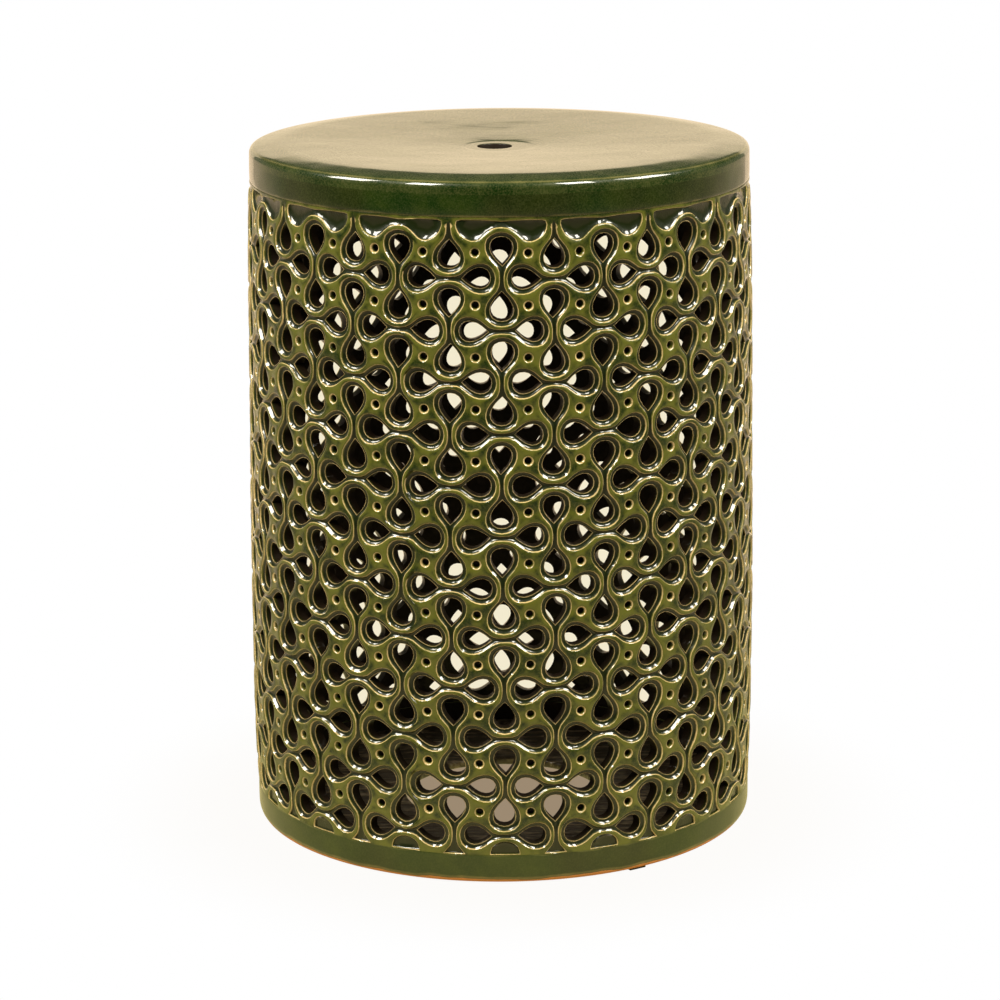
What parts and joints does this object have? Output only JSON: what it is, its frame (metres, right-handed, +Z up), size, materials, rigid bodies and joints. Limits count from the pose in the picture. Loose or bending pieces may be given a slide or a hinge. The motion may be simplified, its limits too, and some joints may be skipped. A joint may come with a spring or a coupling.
{
  "type": "ceramic garden stool",
  "caption": "Drum-shaped glazed ceramic garden stool with a dished seat, a central finger hole, a pierced lattice wall, and a base with a round hole on small pads.",
  "frame": {"origin": "on the floor under the middle of the stool, at the undersides of its foot pads", "axes": "+Z up along the drum's axis, -Y the front, +X to the right seen from the front"},
  "size_m": [0.3352, 0.3352, 0.4515],
  "materials": {
    "green_glaze": "gloss",
    "pad_rubber": "matte"
  },
  "bodies": {
    "root": {"seat_slab": "green_glaze", "upper_band": "green_glaze", "lattice_wall_right": "green_glaze", "lattice_wall_left": "green_glaze", "foot_band": "green_glaze", "base_plate": "green_glaze", "foot_pad_1": "pad_rubber", "foot_pad_2": "pad_rubber", "foot_pad_3": "pad_rubber"}
  },
  "joints": []
}
